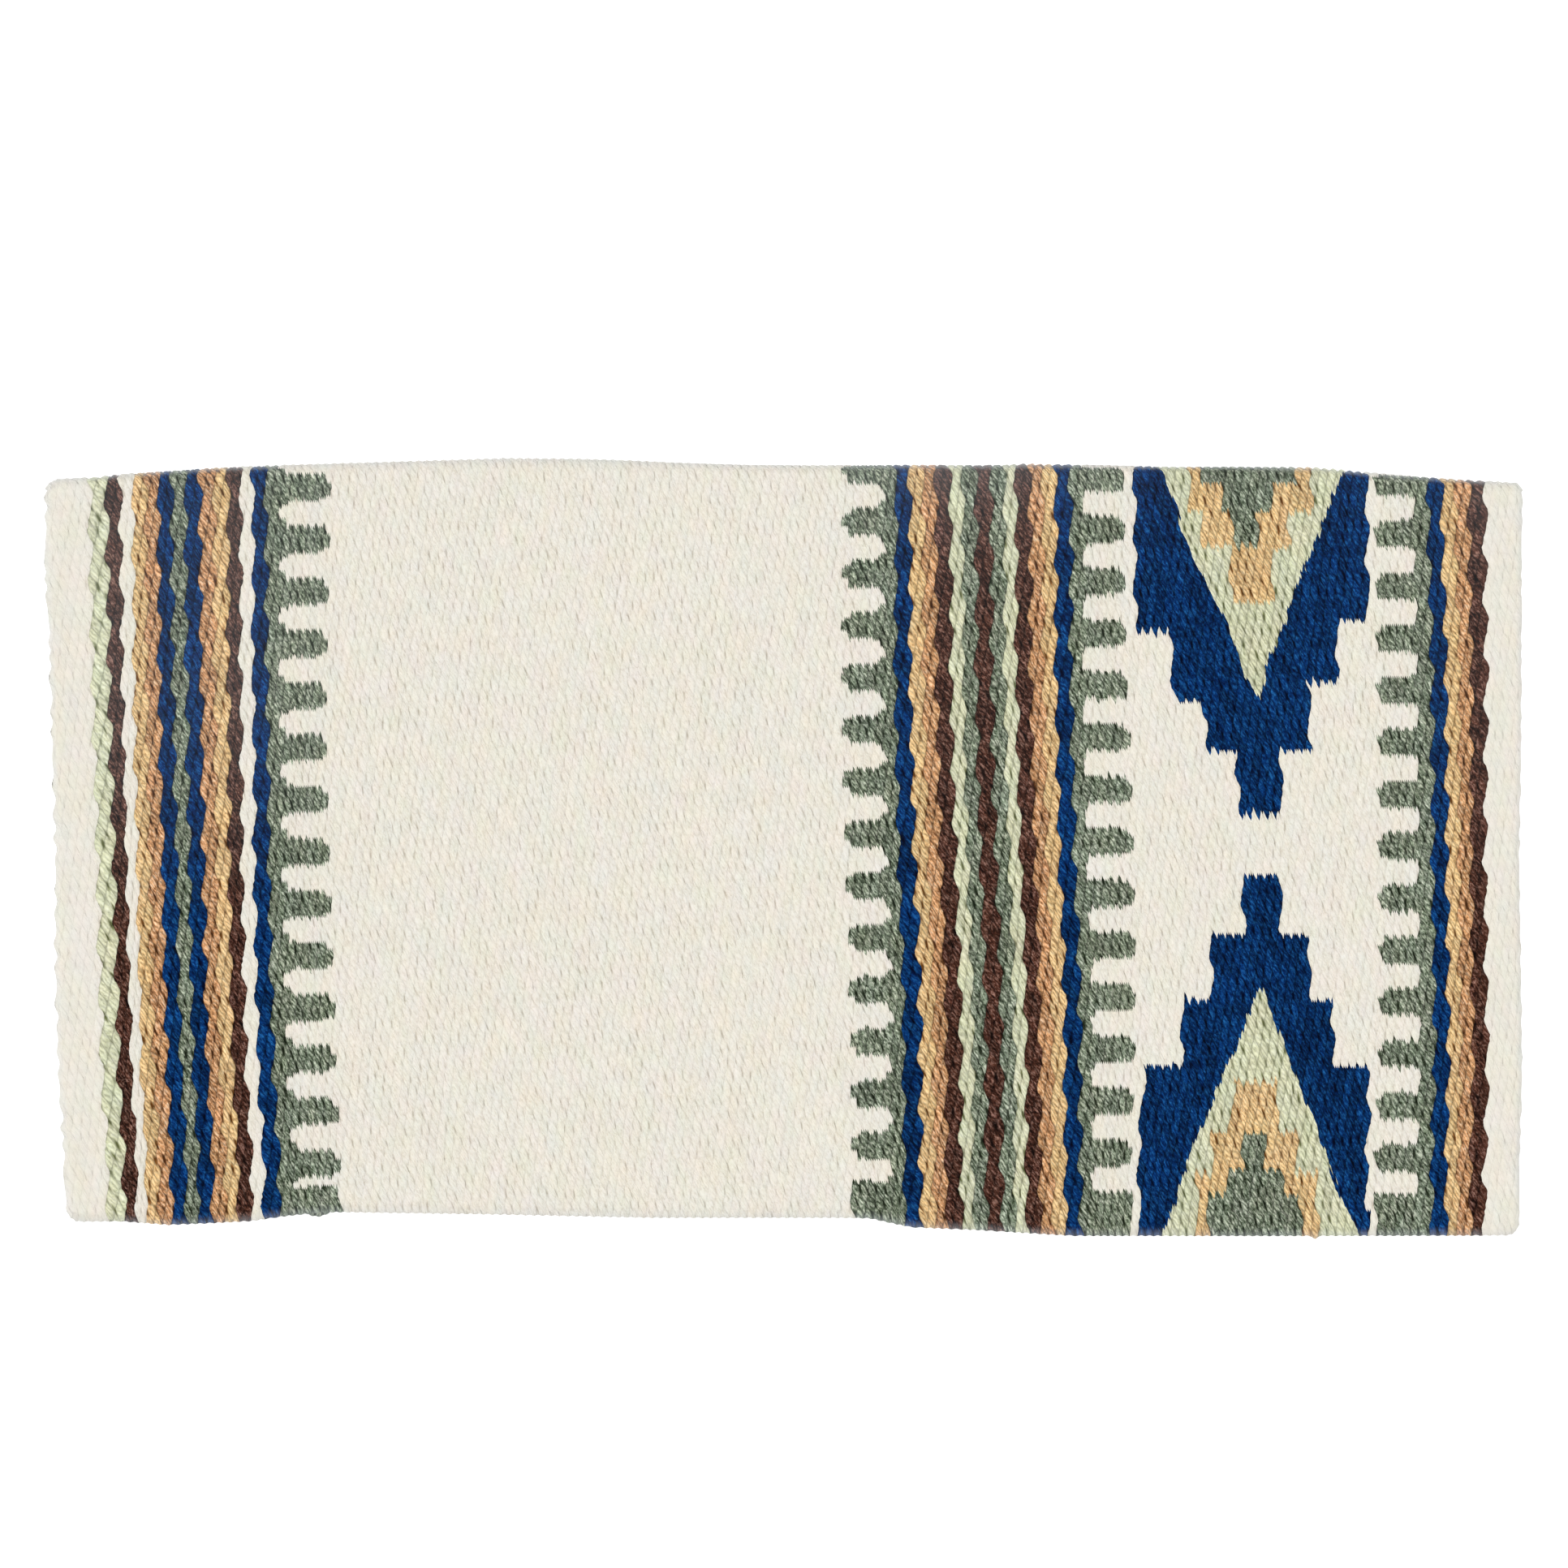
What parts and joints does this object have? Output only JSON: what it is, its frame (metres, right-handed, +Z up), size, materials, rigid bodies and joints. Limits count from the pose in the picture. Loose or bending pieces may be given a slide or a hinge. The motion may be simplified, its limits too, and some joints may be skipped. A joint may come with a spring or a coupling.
{
  "type": "saddle blanket",
  "caption": "Thick woven wool saddle blanket, folded at its spine, with scalloped stripes, comb borders and a stepped half-diamond motif; it opens flat.",
  "frame": {"origin": "under the middle of the folded blanket, on the surface that it lies on", "axes": "+X runs from the blanket's left end to its right end, +Y from the open hems to the spine fold, +Z up from the surface"},
  "size_m": [0.8638, 0.4563, 0.0163],
  "materials": {
    "cream_wool": "undyed two-ply wool weft, soft and matt",
    "mint_wool": "pale green two-ply wool weft, matt",
    "brown_wool": "dark brown two-ply wool weft, matt",
    "tan_wool": "gold and rust tan two-ply wool wefts side by side, matt",
    "gold_wool": "golden tan two-ply wool weft, matt",
    "blue_wool": "deep blue two-ply wool weft, matt, slightly hairy",
    "sage_wool": "grey green heathered two-ply wool weft, matt"
  },
  "bodies": {
    "lower_half": {"lower_cream_border_1": "cream_wool", "lower_edge_stripes": "tan_wool", "lower_blue_stripes": "blue_wool", "lower_tan_stripe_2": "tan_wool", "lower_brown_stripes_1": "brown_wool", "lower_sage_comb_1": "sage_wool", "lower_cream_field": "cream_wool", "lower_sage_comb_2": "sage_wool", "lower_tan_stripes_3": "tan_wool", "lower_mint_stripes": "mint_wool", "lower_tan_stripes_4": "tan_wool", "lower_sage_comb_3": "sage_wool", "lower_sage_comb_4": "sage_wool", "lower_tan_stripes_5": "tan_wool", "lower_cream_border_2": "cream_wool", "lower_motif_ground": "cream_wool", "lower_spine_motif": "blue_wool", "lower_hem_motif": "blue_wool", "spine_roll": "cream_wool"},
    "upper_half": {"upper_cream_border_1": "cream_wool", "upper_mint_stripe_1": "mint_wool", "upper_brown_stripe_1": "brown_wool", "upper_cream_stripe_1": "cream_wool", "upper_tan_stripe_1": "tan_wool", "upper_blue_stripe_1": "blue_wool", "upper_sage_stripe_1": "sage_wool", "upper_blue_stripe_2": "blue_wool", "upper_tan_stripe_2": "tan_wool", "upper_brown_stripe_2": "brown_wool", "upper_cream_stripe_2": "cream_wool", "upper_blue_stripe_3": "blue_wool", "upper_sage_comb_1": "sage_wool", "upper_cream_field": "cream_wool", "upper_sage_comb_2": "sage_wool", "upper_blue_stripe_4": "blue_wool", "upper_tan_stripe_3": "tan_wool", "upper_brown_stripe_3": "brown_wool", "upper_mint_stripe_2": "mint_wool", "upper_sage_stripe_2": "sage_wool", "upper_brown_stripe_4": "brown_wool", "upper_sage_stripe_3": "sage_wool", "upper_mint_stripe_3": "mint_wool", "upper_brown_stripe_5": "brown_wool", "upper_tan_stripe_4": "tan_wool", "upper_blue_stripe_5": "blue_wool", "upper_sage_comb_3": "sage_wool", "upper_sage_comb_4": "sage_wool", "upper_blue_stripe_6": "blue_wool", "upper_tan_stripe_5": "tan_wool", "upper_brown_stripe_6": "brown_wool", "upper_cream_border_2": "cream_wool", "upper_motif_ground": "cream_wool", "upper_spine_motif_blue": "blue_wool", "upper_hem_motif_blue": "blue_wool", "upper_spine_motif_mint": "mint_wool", "upper_hem_motif_mint": "mint_wool", "upper_spine_motif_gold": "gold_wool", "upper_hem_motif_gold": "gold_wool", "upper_spine_motif_sage": "sage_wool", "upper_hem_motif_sage": "sage_wool"}
  },
  "joints": [
    {"name": "spine_fold", "type": "hinge", "parent": "lower_half", "child": "upper_half", "pos_m": [0, 0.2201, 0.00815], "axis": [-1, 0, 0], "range_deg": [0, 179.9], "deforming": ["spine_roll"]}
  ]
}
